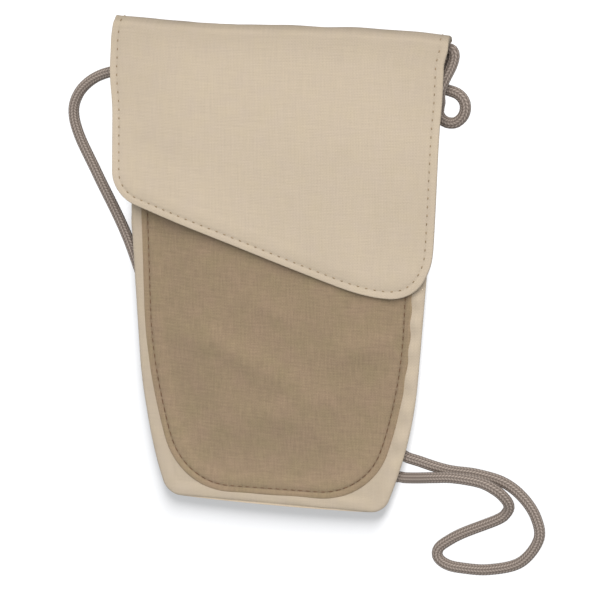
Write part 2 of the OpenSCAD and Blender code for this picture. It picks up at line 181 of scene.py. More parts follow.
# The photograph's viewpoint, in the object's frame
VIEW_TARGET = Vector((10.22, -12.06, 6.0)) * MM
VIEW_DIRECTION = Vector((0.32, 0.24, 1)).normalized()
VIEW_DISTANCE = 1.0
VIEW_ROLL = math.radians(0.6)
VIEW_LENS = 146.19
SENSOR = 36


def make_camera():
    right = Vector((0, 1, 0)).cross(VIEW_DIRECTION).normalized()
    up = VIEW_DIRECTION.cross(right)
    turn = Matrix((right, up, VIEW_DIRECTION)).transposed() @ Matrix.Rotation(VIEW_ROLL, 3, "Z")
    camera = bpy.data.objects.new("camera", bpy.data.cameras.new("camera"))
    camera.data.lens = VIEW_LENS
    camera.data.sensor_width = SENSOR
    camera.matrix_world = Matrix.Translation(VIEW_TARGET + VIEW_DIRECTION * VIEW_DISTANCE) @ turn.to_4x4()
    bpy.context.scene.collection.objects.link(camera)
    bpy.context.scene.camera = camera


# Small functions of shape

def soft(t):
    """A soft step from 0 to 1."""
    c = np.clip(t, 0, 1)
    return c * c * (3 - 2 * c)


def mix(a, b, t):
    return a + (b - a) * t


def spots(*axes):
    """Points from their coordinates, each of which is a number or a grid."""
    return np.stack(np.broadcast_arrays(*axes), axis=-1)


def rim(distance, radius):
    """Height share of a rounded edge: 0 at the edge, and 1 from one radius inwards."""
    c = np.clip(distance / radius, 0, 1)
    return np.sqrt(c * (2 - c))


def groove(distance, width):
    """A rounded channel, 1 on its line and fading out to both sides."""
    return np.exp(-((distance / width) ** 2))


def roll(distance, width):
    """A rounded swelling between an edge and a line at that width."""
    return np.sin(np.pi * np.clip(distance / width, 0, 1))


def ripple(x, y, wavelength, seed):
    """Seeded smooth unevenness of about unit size."""
    waves = 7
    rng = np.random.default_rng(seed)
    total = 0
    for _ in range(waves):
        heading, phase = rng.uniform(0, 2 * np.pi, 2)
        length = wavelength * rng.uniform(0.7, 1.5)
        total = total + np.sin(2 * np.pi * (x * np.cos(heading) + y * np.sin(heading)) / length + phase)
    return total / math.sqrt(waves)


# Distances of grid lines from an edge, close together so that the edge is round
EDGE_STEPS = np.array([0, 0.06, 0.2, 0.42, 0.7, 1.05, 1.5])
GRID_STEP = 0.65


def graded(length):
    """Places from 0 to a length, close together near both ends."""
    reach = EDGE_STEPS[-1]
    count = round((length - 2 * reach) / GRID_STEP) + 1
    inner = np.linspace(reach, length - reach, count)
    return np.concatenate([EDGE_STEPS[:-1], inner, length - EDGE_STEPS[-2::-1]])


def turns(count):
    """Angles at even steps once round, in radians."""
    return 2 * np.pi * np.arange(count) / count


def path_lengths(path):
    return np.concatenate([[0], np.cumsum(np.linalg.norm(np.diff(path, axis=0), axis=1))])


def along_path(path, places):
    """Points of a path at these distances along it."""
    lengths = path_lengths(path)
    return spots(*[np.interp(places, lengths, axis) for axis in path.T])


def nearest(x, y, path):
    """Distance of each point from a path, and how far along the path its nearest place is."""
    chunk = 4000
    points = spots(np.ravel(x), np.ravel(y))
    run = np.diff(path, axis=0)
    length = np.linalg.norm(run, axis=1)
    start = path_lengths(path)[:-1]
    gaps, places = [], []
    for first in range(0, len(points), chunk):
        offset = points[first:first + chunk, None] - path[None, :-1]
        share = np.clip((offset * run).sum(2) / length**2, 0, 1)
        away = np.linalg.norm(offset - share[..., None] * run, axis=2)
        best = away.argmin(1)
        each = np.arange(len(best))
        gaps.append(away[each, best])
        places.append(start[best] + share[each, best] * length[best])
    return np.concatenate(gaps).reshape(np.shape(x)), np.concatenate(places).reshape(np.shape(x))


def enclosed_area(path):
    """Area inside a closed path, in square metres."""
    x, y = path.T
    return abs(np.dot(x, np.roll(y, -1)) - np.dot(y, np.roll(x, -1))) / 2 * MM**2


class Seam:
    """A row of stitches along a path, with needle holes at the ends of each stitch."""

    def __init__(self, path, stitch, pitch=STITCH_PITCH):
        self.path = np.asarray(path, float)
        length = path_lengths(self.path)[-1]
        self.count = int(length // pitch)
        self.pitch = length / self.count
        self.stitch = stitch

    def field(self, x, y):
        """Distance from the row, and the place along it, counted in stitches."""
        gap, place = nearest(x, y, self.path)
        return gap, place / self.pitch


# Meshes

# Stands for the distance from a seam where there is none
FAR = 99


def make_piece(name, points, faces, material, **layers):
    """A smooth mesh object from points in millimetres, with named values at its points."""
    mesh = bpy.data.meshes.new(name)
    mesh.from_pydata((points * MM).tolist(), [], faces)
    mesh.shade_smooth()
    for key, values in layers.items():
        kind, field = ("FLOAT", "value") if values.ndim == 1 else ("FLOAT_VECTOR", "vector")
        layer = mesh.attributes.new(key, kind, "POINT")
        layer.data.foreach_set(field, values.astype(np.float32).ravel())
    mesh.materials.append(material)
    piece = bpy.data.objects.new(name, mesh)
    bpy.context.scene.collection.objects.link(piece)
    return piece


def quads(index):
    """Faces between the neighbouring points of a grid of point numbers."""
    return spots(index[:-1, :-1], index[:-1, 1:], index[1:, 1:], index[1:, :-1]).reshape(-1, 4)


def cloth_piece(name, upper, lower, material, weave, seam=None, tone=None):
    """A closed sheet between two grids of points that meet along their rims."""
    rows, columns = upper.shape[:2]
    inner = np.s_[1:-1, 1:-1]
    top = np.arange(rows * columns).reshape(rows, columns)
    under = top.copy()
    under[inner] = top.size + np.arange((rows - 2) * (columns - 2)).reshape(rows - 2, columns - 2)

    def both(grid):
        width = grid.shape[2:]
        return np.concatenate([grid.reshape(-1, *width), grid[inner].reshape(-1, *width)])

    points = np.concatenate([upper.reshape(-1, 3), lower[inner].reshape(-1, 3)])
    faces = np.concatenate([quads(top), quads(under)[:, ::-1]]).tolist()
    flat = np.zeros((rows, columns))
    gap, phase = seam if seam else (FAR, 0)
    return make_piece(name, points, faces, material, weave=both(spots(*weave, flat)),
                      seam=both(spots(gap, phase, flat)), tone=both(flat if tone is None else tone))


def flat_piece(name, plan, upper, lower, *finish):
    """A closed sheet whose two faces lie at these heights over the same plan."""
    return cloth_piece(name, spots(*plan, upper), spots(*plan, lower), *finish)


def tubes(name, lines, half_width, half_height, hint, material, sides=8, taper=0.4, **layers):
    """Closed rounded tubes along lines of points, whose cross-sections stand square to the hint."""
    count, rings = lines.shape[:2]
    ahead = np.gradient(lines, axis=1)
    across = np.cross(ahead, hint)
    across /= np.linalg.norm(across, axis=2, keepdims=True)
    up = np.cross(across, ahead)
    up /= np.linalg.norm(up, axis=2, keepdims=True)
    turn = turns(sides)[:, None]
    scale = (1 - taper * np.linspace(-1, 1, rings) ** 6)[None, :, None, None]
    ring = half_width * np.cos(turn) * across[:, :, None] + half_height * np.sin(turn) * up[:, :, None]
    points = (lines[:, :, None] + scale * ring).reshape(-1, 3)
    index = np.arange(count * rings * sides).reshape(count, rings, sides)
    wrapped = np.concatenate([index, index[:, :, :1]], axis=2)
    faces = [face for one in wrapped for face in quads(one).tolist()]
    faces += index[:, 0, ::-1].tolist() + index[:, -1].tolist()
    if not layers:
        length = path_lengths(lines[0])
        along = length[:, None] + np.arange(count)[:, None, None] * length[-1]
        layers = {"weave": spots(along, turn[:, 0] * half_width, 0).reshape(-1, 3)}
    return make_piece(name, points, faces, material, **layers)


def level(z):
    """A face that lies level at this height."""
    return lambda x, y: spots(x, y, z)


# Places along a stitch, as shares of its half length from its middle
STITCH_SHARES = np.linspace(-1, 1, 9)
THREAD_HALF_WIDTH = 0.5 * THREAD
THREAD_HALF_HEIGHT = 0.4 * THREAD
# Height of a thread above the cloth, from the middle of a stitch to its ends
THREAD_RISE = 0.06 - 0.5 * np.abs(STITCH_SHARES) ** 5


def stitches(name, seam, face, material, side=1):
    """Threads that lie on a cloth's face and dive into it at both ends of each stitch."""
    middles = (np.arange(seam.count) + 0.5) * seam.pitch
    plan = along_path(seam.path, middles[:, None] + STITCH_SHARES * seam.stitch / 2)
    lines = face(plan[..., 0], plan[..., 1])
    lines[..., 2] += side * THREAD_RISE
    return tubes(name, lines, THREAD_HALF_WIDTH, THREAD_HALF_HEIGHT, [0, 0, side], material)


# Materials

THREAD_PITCH = 0.62


def srgb(red, green, blue):
    """A display colour from 0 to 255 as linear light."""
    share = np.array([red, green, blue]) / 255
    linear = np.where(share <= 0.04045, share / 12.92, ((share + 0.055) / 1.055) ** 2.4)
    return (*linear.tolist(), 1)


class Tree:
    """Adds linked nodes to a new material or world, and sets its shader."""

    def __init__(self, owner, shader="Principled BSDF"):
        owner.use_nodes = True
        self.owner = owner
        self.nodes = owner.node_tree.nodes
        self.links = owner.node_tree.links
        self.shader = self.nodes[shader]

    def put(self, node, key, value):
        if isinstance(value, bpy.types.NodeSocket):
            self.links.new(value, node.inputs[key])
        else:
            node.inputs[key].default_value = value

    def add(self, kind, inputs, output=0, **settings):
        node = self.nodes.new("ShaderNode" + kind)
        for key, value in settings.items():
            setattr(node, key, value)
        for key, value in inputs.items():
            self.put(node, key, value)
        return node.outputs[output]

    def calc(self, operation, *values):
        return self.add("Math", dict(enumerate(values)), operation=operation)

    def layer(self, key, output="Vector"):
        """The value of a mesh's own layer."""
        return self.add("Attribute", {}, output, attribute_name=key)

    def parts(self, vector):
        """The x and y of a vector."""
        node = self.nodes.new("ShaderNodeSeparateXYZ")
        self.links.new(vector, node.inputs[0])
        return node.outputs[0], node.outputs[1]

    def fade(self, value, near, far):
        """1 where the value is up to near, and softly 0 from far on."""
        limits = {"Value": value, "From Min": near, "From Max": far, "To Min": 1.0, "To Max": 0.0}
        return self.add("MapRange", limits, interpolation_type="SMOOTHSTEP")

    def noise(self, vector, size, detail=2.0):
        """Noise about 0, from -0.5 to 0.5, with grains of this size in the vector's units."""
        scaled = self.add("VectorMath", {0: vector, 1: tuple(1 / s for s in size)}, operation="MULTIPLY")
        grain = self.add("TexNoise", {"Vector": scaled, "Scale": 1.0, "Detail": detail})
        return self.calc("SUBTRACT", grain, 0.5)

    def tint(self, colour, other, share, light):
        """A colour that drifts to another by a share, made lighter or darker by a factor."""
        drift = self.add("Mix", {0: share, 6: colour, 7: other}, 2, data_type="RGBA")
        return self.add("VectorMath", {0: drift, "Scale": light}, operation="SCALE")

    def bump(self, height, depth, strength):
        inputs = {"Height": height, "Distance": depth * MM, "Strength": strength}
        self.put(self.shader, "Normal", self.add("Bump", inputs))

    def finish(self, **values):
        for key, value in values.items():
            self.put(self.shader, key.replace("_", " "), value)
        return self.owner


def fabric(name, colour, drift, patch, slub, streak, painted_seam_shade, stitch_share):
    """A plain weave with thick and thin yarns, soft colour drift, and painted shade in the needle holes
    and stitch channels along its seams.
    """
    tree = Tree(bpy.data.materials.new(name))
    weave = tree.layer("weave")
    across, along = tree.parts(weave)
    warp = tree.calc("SINE", tree.calc("MULTIPLY", across, math.pi / THREAD_PITCH))
    weft = tree.calc("SINE", tree.calc("MULTIPLY", along, math.pi / THREAD_PITCH))
    crossing = tree.calc("MULTIPLY", warp, weft)
    crown = tree.calc("POWER", tree.calc("ABSOLUTE", crossing), 0.5)
    warp_yarns = tree.noise(weave, (0.8, streak, 9), 1.0)
    yarns = tree.calc("ADD", warp_yarns, tree.noise(weave, (streak, 0.8, 9), 1.0))
    grain = tree.noise(weave, (0.55, 0.55, 1), 1.0)
    patches = tree.noise(weave, (patch, patch, patch))
    gap, phase = tree.parts(tree.layer("seam"))
    from_middle = tree.calc("ABSOLUTE", tree.calc("SUBTRACT", tree.calc("FRACT", phase), 0.5))
    past_end = tree.calc("MULTIPLY", tree.calc("SUBTRACT", from_middle, stitch_share / 2), STITCH_PITCH)
    squares = tree.calc("ADD", tree.calc("POWER", past_end, 2.0), tree.calc("POWER", gap, 2.0))
    # Painted shade: the cloth is darkened in each needle hole and along the channel of each seam
    hole_shade = tree.fade(tree.calc("SQRT", squares), 0.1, 0.5)
    channel = tree.fade(gap, 0.1, 0.8)
    light = tree.calc("ADD", tree.layer("tone", "Fac"), 1.0)
    for mark, strength in ((yarns, slub), (grain, slub), (crossing, 0.03),
                           (hole_shade, -painted_seam_shade), (channel, -0.25 * painted_seam_shade)):
        light = tree.calc("MULTIPLY_ADD", mark, strength, light)
    share = tree.calc("MULTIPLY_ADD", patches, 2.4, 0.5)
    rough = tree.calc("MULTIPLY_ADD", yarns, 0.2, 0.84)
    tree.bump(tree.calc("MULTIPLY_ADD", yarns, 1.2, crown), 0.12, 0.4)
    return tree.finish(Base_Color=tree.tint(colour, drift, share, light), Roughness=rough,
                       Specular_IOR_Level=0.2, Sheen_Weight=0.08, Sheen_Roughness=0.5)


def spun_thread(name, colour):
    """Twisted sewing thread."""
    tree = Tree(bpy.data.materials.new(name))
    weave = tree.layer("weave")
    along, around = tree.parts(weave)
    twist = tree.calc("SINE", tree.calc("MULTIPLY", tree.calc("ADD", along, around), 2 * math.pi / 0.45))
    light = tree.calc("MULTIPLY_ADD", twist, 0.14, tree.calc("ADD", tree.noise(weave, (2, 2, 2)), 1.0))
    dark = tuple(0.8 * part for part in colour[:3]) + (1,)
    tree.bump(twist, 0.06, 0.6)
    return tree.finish(Base_Color=tree.tint(colour, dark, 0.5, light), Roughness=0.6,
                       Specular_IOR_Level=0.3, Sheen_Weight=0.1)


def braided_yarn(name, colour, pale):
    """The cord's yarn: pale on the crown of each strand, with painted shade between the strands."""
    tree = Tree(bpy.data.materials.new(name))
    weave = tree.layer("weave")
    fibres = tree.noise(weave, (0.2, 0.2, 1), 1.0)
    crown = tree.layer("crown", "Fac")
    # Painted shade: the yarn is darker away from each strand's crown, in the valleys between strands
    light = tree.calc("MULTIPLY_ADD", fibres, 0.25, tree.calc("MULTIPLY_ADD", crown, 0.4, 0.68))
    tree.bump(fibres, 0.08, 0.4)
    share = tree.calc("POWER", crown, 2.0)
    return tree.finish(Base_Color=tree.tint(colour, pale, share, light), Roughness=0.7,
                       Specular_IOR_Level=0.25, Sheen_Weight=0.1)


BEIGE = fabric("beige_cloth", srgb(208, 191, 167), srgb(207, 190, 169),
               patch=8, slub=0.1, streak=12, painted_seam_shade=0.1, stitch_share=0.2)
KHAKI = fabric("khaki_cloth", srgb(160, 137, 113), srgb(155, 136, 108),
               patch=11, slub=0.3, streak=7, painted_seam_shade=0.22, stitch_share=0.73)
LINING_CLOTH = fabric("lining_cloth", srgb(172, 158, 140), srgb(168, 154, 137),
                      patch=20, slub=0.08, streak=12, painted_seam_shade=0.16, stitch_share=0.42)
TAPE = fabric("closure_tape", srgb(186, 170, 148), srgb(180, 165, 145),
              patch=20, slub=0.1, streak=12, painted_seam_shade=0.16, stitch_share=0.6)
TAN_THREAD = spun_thread("tan_thread", srgb(170, 145, 113))
BROWN_THREAD = spun_thread("brown_thread", srgb(122, 91, 65))
PILE = spun_thread("closure_pile", srgb(190, 175, 154))
CORD_BRAID = braided_yarn("cord_braid", srgb(114, 101, 92), srgb(188, 173, 162))


# Neck cord

CORD_STEP = 0.2
CORD_SIDES = 46
CORD_ROWS = 10
CORD_LAY = 1.3
BRAID_DEPTH = 0.16


def smooth_route(route):
    """An even curve through the points of a route."""
    ends = np.concatenate([[2 * route[0] - route[1]], route, [2 * route[-1] - route[-2]]])
    t = np.linspace(0, 1, 40, endpoint=False)[:, None]
    runs = [0.5 * (2 * b + (c - a) * t + (2 * a - 5 * b + 4 * c - d) * t**2
                   + (3 * b - a - 3 * c + d) * t**3)
            for a, b, c, d in zip(ends, ends[1:], ends[2:], ends[3:])]
    line = np.concatenate([*runs, route[-1:]])
    length = path_lengths(line)[-1]
    return along_path(line, np.linspace(0, length, round(length / CORD_STEP) + 1)), length


def braid_relief(turn, along):
    """Height share of a braid whose strands slant one way and the other in alternate rows."""
    row = CORD_ROWS * turn / (2 * np.pi)
    slant = np.where(np.floor(row) % 2 == 0, 1, -1)
    strand = np.abs(np.cos(np.pi * (along / CORD_LAY + slant * row)))
    return (0.3 + 0.7 * strand**0.8) * np.abs(np.sin(np.pi * row)) ** 0.5


def make_cord():
    line, length = smooth_route(CORD_ROUTE)
    places = np.linspace(0, length, len(line))[:, None]
    turn = turns(CORD_SIDES)
    crown = braid_relief(turn, places)
    radius = (CORD_D / 2 - BRAID_DEPTH * (1 - crown))[..., None]
    weave = spots(turn * CORD_D / 2, places, 0).reshape(-1, 3)
    cord = tubes("neck_cord_braid", line[None], radius, radius, [0, 0, 1], CORD_BRAID, CORD_SIDES,
                 taper=0, weave=weave, crown=crown.ravel())
    dress(cord, "pouch", "cord_braid", "neck_cord")
    return cord


# Body

def body_side(y):
    drawn_in = np.maximum(0, BODY_DRAWN_IN_Y - y)
    return BODY_HALF + BODY_TAPER * np.minimum(y, BODY_STRAIGHT_Y) - BODY_CURVE * drawn_in**2


def body_width(y):
    up = np.minimum(y - BOTTOM_Y, BODY_CORNER)
    return body_side(y) - BODY_CORNER + np.sqrt(BODY_CORNER**2 - (BODY_CORNER - up) ** 2)


def body_plan(x, y):
    """Where the even body's cloth lies: its bottom edge hangs aslant and its left side is drawn in."""
    low = 1 - soft((y - BOTTOM_Y) / BOW_FADE)
    drawn = LEFT_DRAW * soft((y - BOTTOM_Y - 6) / 35) * (1 - soft((y - 30) / 30)) * soft(-x / BODY_HALF)
    return x + drawn, y + (BOTTOM_BOW * (x / BOW_REACH) ** 2 + BOTTOM_TILT * x) * low


def back_height(x, y):
    """Underside of the back: flat on the table in the middle, raised along the seams and the top."""
    side = soft((body_side(y) - np.abs(x) - MARGIN_WIDTH) / SLOPE_WIDTH)
    bottom = soft((y - BOTTOM_Y - MARGIN_WIDTH) / SLOPE_WIDTH)
    top = soft((FOLD_Y - y - TOP_MARGIN) / TOP_SLOPE)
    return MARGIN_RISE * (1 - side * bottom * top)


def body_grid(low_y, high_y, inset):
    """Even positions over a body-shaped sheet, drawn in from the side seams."""
    shares = graded(2 * BODY_HALF) / BODY_HALF - 1
    y = (low_y + graded(high_y - low_y))[:, None] + 0 * shares
    return shares * (body_width(y) - inset), y


def body_outline(top_y):
    """The side and bottom seams, from the top on the left to the top on the right."""
    rise = np.concatenate([EDGE_STEPS, np.geomspace(2, top_y - BOTTOM_Y, 60)])
    right = np.stack([body_width(BOTTOM_Y + rise), BOTTOM_Y + rise])
    even = np.concatenate([right[:, ::-1] * [[-1], [1]], right], axis=1)
    return spots(*body_plan(*even))


HEM_RISE = 0.3
HEM_PAST_STITCHES = 0.6
HEM_EASE = 0.9
SEAM_ROUND = 1.3
LAYER_GAP = 0.015
MARGIN_PUFF = 0.45
MARGIN_PUFF_WIDTH = 6.5
RUFFLE = 0.34
RUFFLE_LENGTH = 11.5


def hem_rise(y, mouth_y):
    """Extra height of the doubled cloth along a mouth."""
    return HEM_RISE * soft((y - mouth_y + HEM_DEPTH + HEM_PAST_STITCHES) / HEM_EASE)


def front_skin(x, y):
    """Both faces of the front panel, with its rounded seams and the doubled hem at its mouth."""
    gap, _ = nearest(x, y, body_outline(MOUTH_Y + 20))
    seam_rim = rim(gap, SEAM_ROUND)
    mouth_rim = rim(MOUTH_Y - y, CLOTH / 2)
    hem = hem_rise(y, MOUTH_Y)
    margin = roll(gap, MARGIN_PUFF_WIDTH)
    ruffle = np.sin(2 * np.pi * y / RUFFLE_LENGTH + 1.5 * np.sin(y / 17))
    ruffle = ruffle * soft(x / 30) * soft((60 - np.abs(y + 30)) / 20)
    swell = margin * (MARGIN_PUFF + RUFFLE * ruffle + 0.1 * ripple(x, y, 16, 3))
    middle = FRONT_Z + 0.5 * CLOTH * seam_rim
    upper = middle + (0.5 * CLOTH + hem) * seam_rim * mouth_rim + swell * mouth_rim
    lower = middle - (0.5 * CLOTH - LAYER_GAP) * seam_rim * mouth_rim
    return upper, lower, gap


def on_front(x, y):
    return spots(x, y, front_skin(x, y)[0])


def make_front():
    x, y = body_plan(*body_grid(BOTTOM_Y, MOUTH_Y, 0))
    reach = body_side(MOUTH_Y) - MARGIN_WIDTH
    hem_y = MOUTH_Y - HEM_DEPTH
    seam = Seam([(-reach, hem_y), (reach, hem_y)], stitch=2.2)
    upper, lower, gap = front_skin(x, y)
    # Painted light and shade: lighter along the rounded seam edge, and darker in the seam line, over the
    # left side and along the bottom edge
    tone = -0.01 - 0.05 * soft((gap - 1) / 6) - 0.02 * groove(gap, 0.45)
    tone = tone - 0.06 * soft((-x - 40) / 15) - 0.02 * (1 - soft((y - BOTTOM_Y - 4) / 8))
    front = flat_piece("front_cloth", (x, y), upper, lower, BEIGE, (x + 300, y), seam.field(x, y), tone)
    thread = stitches("mouth_stitches", seam, on_front, TAN_THREAD)
    area = enclosed_area(body_outline(MOUTH_Y))
    dress(front, "pouch", "beige_cloth", "front_panel")
    dress(thread, "pouch", "tan_thread", "mouth_stitching")


def make_back():
    x, y = body_plan(*body_grid(BOTTOM_Y, FOLD_Y, 0))
    outline = body_outline(FOLD_Y)
    gap, _ = nearest(x, y, np.concatenate([outline, outline[:1]]))
    seam_rim = rim(gap, SEAM_ROUND)
    height = back_height(x, y)
    slope = roll(height / MARGIN_RISE, 1)
    crease = 0.35 * ripple(x, y, 22, 11) * slope
    upper = height + crease + CLOTH - LAYER_GAP * seam_rim
    lower = height + crease + CLOTH * (1 - seam_rim)
    # Painted shade: darker in the seam line along the edge
    tone = 0.02 - 0.04 * groove(gap, 0.45)
    back = flat_piece("back_cloth", (x, y), upper, lower, BEIGE, (x + 600, y), None, tone)
    dress(back, "pouch", "beige_cloth", "back_panel")


def lining_grid(low_y, high_y, inset):
    """Plan positions over a lining, and the height share of its rounded edge."""
    x, y = body_grid(low_y, high_y, inset)
    edge = rim(np.minimum.reduce([body_width(y) - inset - np.abs(x), y - low_y, high_y - y]), LINING)
    edge[[0, -1]] = 0
    return body_plan(x, y), edge


def make_linings():
    plan, edge = lining_grid(BOTTOM_Y + BACK_LINING_INSET, FOLD_Y - TOP_MARGIN, BACK_LINING_INSET)
    base = back_height(*plan) + CLOTH + 0.05 + 0.12 * (1 + ripple(*plan, 15, 21))
    back = flat_piece("back_lining_cloth", plan, base + LINING * edge, base, LINING_CLOTH, plan)
    dress(back, "pouch", "lining_cloth", "back_lining")
    plan, edge = lining_grid(BOTTOM_Y + FRONT_LINING_INSET, MOUTH_Y - HEM_DEPTH, FRONT_LINING_INSET)
    base = FRONT_Z - 0.02
    front = flat_piece("front_lining_cloth", plan, base, base - LINING * edge, LINING_CLOTH, plan)
    dress(front, "pouch", "lining_cloth", "front_lining")


# Front pocket

POCKET_LEAN = math.atan(POCKET_TAPER + 2 * POCKET_CURVE * (POCKET_STRAIGHT_Y - POCKET_ARC_Y))


def pocket_side(y):
    return POCKET_HALF + POCKET_TAPER * y - POCKET_CURVE * np.maximum(0, POCKET_STRAIGHT_Y - y) ** 2


ARC_X = pocket_side(POCKET_ARC_Y) - POCKET_CORNER * math.cos(POCKET_LEAN)
ARC_Y = POCKET_ARC_Y + POCKET_CORNER * math.sin(POCKET_LEAN)
POCKET_BOTTOM = ARC_Y - POCKET_CORNER


def pocket_outline(inset, top_y):
    """The pocket's sides and bottom, from the top on the left to the top on the right."""
    turn = np.linspace(0, np.pi / 2 - POCKET_LEAN, 40)
    radius = POCKET_CORNER - inset
    arc = spots(ARC_X + radius * np.sin(turn), ARC_Y - radius * np.cos(turn))
    y = np.linspace(arc[-1, 1], top_y, 50)[1:]
    side = spots(pocket_side(y) - inset, y)
    right = np.concatenate([arc, side])
    return np.concatenate([right[::-1] * (-1, 1), right])


POCKET_EDGE = pocket_outline(0, POCKET_MOUTH_Y + 20)
POCKET_SEAM = Seam(pocket_outline(POCKET_STITCH_INSET, POCKET_MOUTH_Y - 4), stitch=2.5)
POCKET_HEM_REACH = POCKET_HALF - POCKET_FLANGE - POCKET_RISE
POCKET_HEM_Y = POCKET_MOUTH_Y - HEM_DEPTH
POCKET_HEM = Seam([(-POCKET_HEM_REACH, POCKET_HEM_Y), (POCKET_HEM_REACH, POCKET_HEM_Y)], stitch=2.4)
POCKET_ROUND = 1.1
# Path, height and width of each soft ridge across the pocket
POCKET_CREASES = [
    ([(-53, -28), (-24, -32), (32, -58)], 1.3, 6),
    ([(54, -24), (22, -35)], 1.3, 6),
    ([(-19, -10), (14, -21)], 0.7, 5),
    ([(-7, -63), (15, -53)], 0.9, 5),
]


def pocket_plan(x, y):
    """Where the even pocket's cloth lies: its bottom hangs aslant."""
    return x, y + (POCKET_TILT * x - POCKET_DROP) * (1 - soft((y - POCKET_BOTTOM) / TILT_FADE))


def closure_clear(x, y):
    """0 over the closure, where the cloth is flat, and 1 well away from it."""
    outside = np.maximum(np.abs(x) - loop_high[0], np.abs(y - CLOSURE_Y) - (loop_high[1] - CLOSURE_Y))
    return soft(outside / 14)


def creases(x, y):
    """Soft ridges where the pocket's cloth is slack, fading out towards their ends."""
    total = 0
    for path, height, width in POCKET_CREASES:
        line = np.array(path, float)
        gap, place = nearest(x, y, line)
        total = total + height * groove(gap, width) * roll(place, path_lengths(line)[-1])
    return total


def pocket_skin(x, y):
    """Both faces of the pocket: a stitched flange, puckers along it, and a creased swelling inside."""
    inset, place = nearest(x, y, POCKET_EDGE)
    swell = mix(BOTTOM_SWELL, POCKET_SWELL, soft((y - POCKET_BOTTOM - 15) / 40))
    lift = POCKET_DEPTH * soft((inset - POCKET_FLANGE) / swell)
    edge_rim = rim(inset, POCKET_ROUND)
    mouth_rim = rim(POCKET_MOUTH_Y - y, CLOTH / 2)
    hem = hem_rise(y, POCKET_MOUTH_Y)
    channel = 0.3 * groove(inset - POCKET_STITCH_INSET, 0.6)
    pucker = 0.06 * np.sin(2 * np.pi * place / 5.1 + 2 * np.sin(place / 13)) * groove(inset - 6, 3)
    welt = 0.08 * roll(inset, POCKET_STITCH_INSET) + 0.3 * roll(inset - POCKET_STITCH_INSET, 6)
    slack = 0.16 * ripple(x, y, 34, 5) * soft((inset - 6) / 12) * closure_clear(x, y)
    base = POCKET_Z + lift + slack + creases(x, y) + pucker * edge_rim
    middle = base + 0.5 * CLOTH * edge_rim
    upper = middle + (0.5 * CLOTH + hem) * edge_rim * mouth_rim
    upper = upper + (welt - channel) * edge_rim * mouth_rim * closure_clear(x, y)
    lower = middle - 0.5 * CLOTH * edge_rim * mouth_rim
    return upper, lower, inset


def on_pocket(x, y):
    return spots(*pocket_plan(x, y), pocket_skin(x, y)[0])


def make_pocket():
    shares = graded(2 * POCKET_HALF) / POCKET_HALF - 1
    rows = POCKET_BOTTOM + graded(POCKET_MOUTH_Y - POCKET_BOTTOM)
    round_width = ARC_X + np.sqrt(np.maximum(0, POCKET_CORNER**2 - (ARC_Y - rows) ** 2))
    width = np.where(rows < POCKET_ARC_Y, round_width, pocket_side(rows))[:, None]
    x = shares * width
    y = rows[:, None] + 0 * x
    upper, lower, inset = pocket_skin(x, y)
    side_gap, side_phase = POCKET_SEAM.field(x, y)
    hem_gap, hem_phase = POCKET_HEM.field(x, y)
    on_side = side_gap < hem_gap
    seam = np.where(on_side, side_gap, hem_gap), np.where(on_side, side_phase, hem_phase)
    # Lighter at the very edge; painted shade in the stitch channel, and painted light towards the bottom
    # and on the left
    tone = 0.12 * (1 - soft(inset / 1.2)) - 0.14 * groove(inset - POCKET_STITCH_INSET, 0.5)
    tone = tone + 0.1 * (1 - soft((y - POCKET_BOTTOM - 8) / 40)) + 0.03 * soft((-x - 20) / 25)
    pocket = flat_piece("pocket_cloth", pocket_plan(x, y), upper, lower, KHAKI, (x, y), seam, tone)
    sides = stitches("pocket_stitches", POCKET_SEAM, on_pocket, BROWN_THREAD)
    hem = stitches("pocket_hem_stitches", POCKET_HEM, on_pocket, BROWN_THREAD)
    dress(pocket, "pouch", "khaki_cloth", "front_pocket")
    dress(sides, "pouch", "brown_thread", "pocket_stitching")
    dress(hem, "pouch", "brown_thread", "pocket_hem_stitching")


# Flap

SLANT = -math.tan(FLAP_SLOPE)
LEFT_ARC = np.array([FLAP_CORNER_LEFT - FLAP_HALF, FLAP_LEFT_Y])
SLANT_START = LEFT_ARC - FLAP_CORNER_LEFT * np.array([math.sin(FLAP_SLOPE), math.cos(FLAP_SLOPE)])
LEVELLING = LEVEL_END_X - LEVEL_START_X


def level_share(x):
    return np.clip((x - LEVEL_START_X) / LEVELLING, 0, 1)


def lower_tilt(x):
    return SLANT * (1 - level_share(x) ** 2)


def lower_y(x):
    levelled = LEVELLING * level_share(x) ** 3 / 3
    return SLANT_START[1] + SLANT * (np.minimum(x, LEVEL_END_X) - SLANT_START[0] - levelled)


RIGHT_ARC = np.array([LEVEL_END_X, lower_y(LEVEL_END_X) + FLAP_CORNER_RIGHT])


def flap_lower_edge(inset):
    """The flap's left corner, slanted edge and right corner, drawn in from the edge."""
    left = np.linspace(np.pi, 1.5 * np.pi - FLAP_SLOPE, 20)
    right = np.linspace(1.5 * np.pi, 2 * np.pi, 30)
    x = np.linspace(SLANT_START[0], LEVEL_END_X, 44)[1:-1]
    tilt = np.arctan(lower_tilt(x))
    return np.concatenate([
        LEFT_ARC + (FLAP_CORNER_LEFT - inset) * spots(np.cos(left), np.sin(left)),
        spots(x - inset * np.sin(tilt), lower_y(x) + inset * np.cos(tilt)),
        RIGHT_ARC + (FLAP_CORNER_RIGHT - inset) * spots(np.cos(right), np.sin(right))])


def flap_outline(inset, top_y):
    """The flap's free edges, from the top on the left to the top on the right."""
    reach = FLAP_HALF - inset
    return np.concatenate([[(-reach, top_y)], flap_lower_edge(inset), [(reach, top_y)]])


